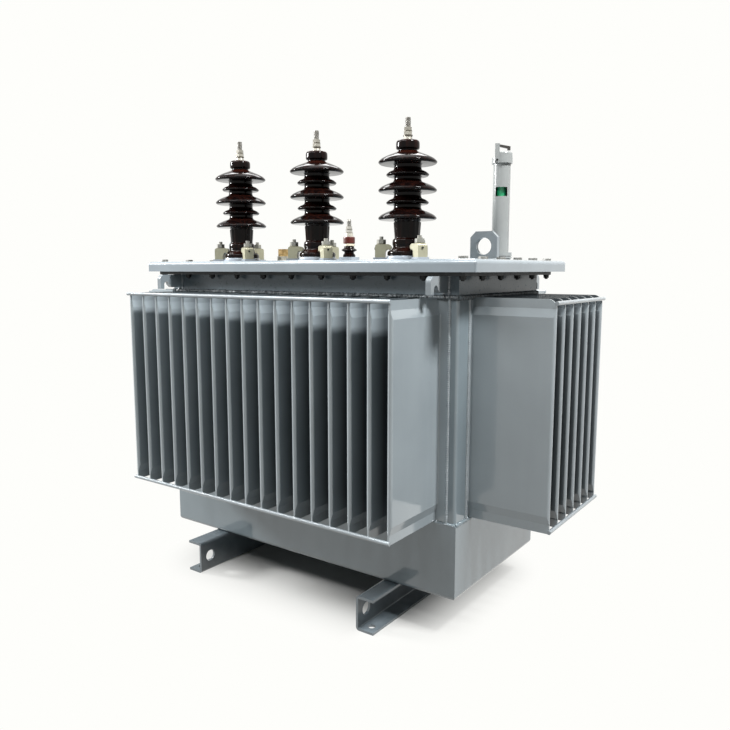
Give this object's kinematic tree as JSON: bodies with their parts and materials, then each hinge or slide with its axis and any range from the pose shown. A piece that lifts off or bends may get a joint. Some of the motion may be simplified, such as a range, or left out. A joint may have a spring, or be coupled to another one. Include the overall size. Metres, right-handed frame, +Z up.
{
  "type": "oil-filled power transformer",
  "caption": "Oil-filled distribution transformer: corrugated finned tank on channel skids, bolted pan cover with brown porcelain bushings, lifting lugs, hooks and a level gauge.",
  "frame": {"origin": "middle of the footprint, on the ground under the skids", "axes": "+X along the long side of the tank towards the level gauge, -Y towards the high-voltage bushings, +Z up"},
  "size_m": [1.313, 0.809, 1.173],
  "materials": {
    "skid_paint": "semi-gloss blue-grey paint",
    "tank_paint": "semi-gloss blue-grey paint",
    "fin_paint": "semi-gloss blue-grey paint",
    "rod_paint": "semi-gloss blue-grey paint",
    "cover_paint": "semi-gloss blue-grey paint",
    "lug_paint": "semi-gloss blue-grey paint",
    "seat_metal": "satin grey",
    "brown_glaze": "high-gloss dark brown glaze",
    "terminal_tin": "tinned",
    "clamp_zinc": "yellow zinc plate",
    "collar_red": "gloss",
    "gauge_resin": "satin",
    "sight_green": "gloss",
    "transformer_oil": "clear oil",
    "handle_dark": "satin",
    "filler_steel": "zinc plate",
    "filler_brass": "machined"
  },
  "bodies": {
    "root": {"left_skid": "skid_paint", "right_skid": "skid_paint", "tank_base": "tank_paint", "front_left_post": "tank_paint", "front_right_post": "tank_paint", "rear_left_post": "tank_paint", "rear_right_post": "tank_paint", "top_frame": "tank_paint", "tank_flange": "tank_paint", "front_wall": "fin_paint", "rear_wall": "fin_paint", "left_wall": "fin_paint", "right_wall": "fin_paint", "front_rods": "rod_paint", "rear_rods": "rod_paint", "left_rods": "rod_paint", "right_rods": "rod_paint", "cover": "cover_paint", "front_hooks": "lug_paint", "rear_hooks": "lug_paint", "left_lug": "lug_paint", "right_lug": "lug_paint", "hv_seat_1": "seat_metal", "hv_seat_2": "seat_metal", "hv_seat_3": "seat_metal", "lv_seat": "seat_metal", "hv_porcelain_1": "brown_glaze", "hv_porcelain_2": "brown_glaze", "hv_porcelain_3": "brown_glaze", "lv_porcelain": "brown_glaze", "hv_terminal_1": "terminal_tin", "hv_terminal_2": "terminal_tin", "hv_terminal_3": "terminal_tin", "lv_terminal": "terminal_tin", "hv_clamps_1": "clamp_zinc", "hv_clamps_2": "clamp_zinc", "hv_clamps_3": "clamp_zinc", "lv_collar": "collar_red", "gauge_foot": "gauge_resin", "gauge_tube": "gauge_resin", "gauge_cap": "gauge_resin", "sight_glass": "sight_green", "oil_fill": "transformer_oil", "gauge_handle": "handle_dark", "filler_seat": "filler_steel", "filler_cap": "filler_brass"}
  },
  "joints": []
}
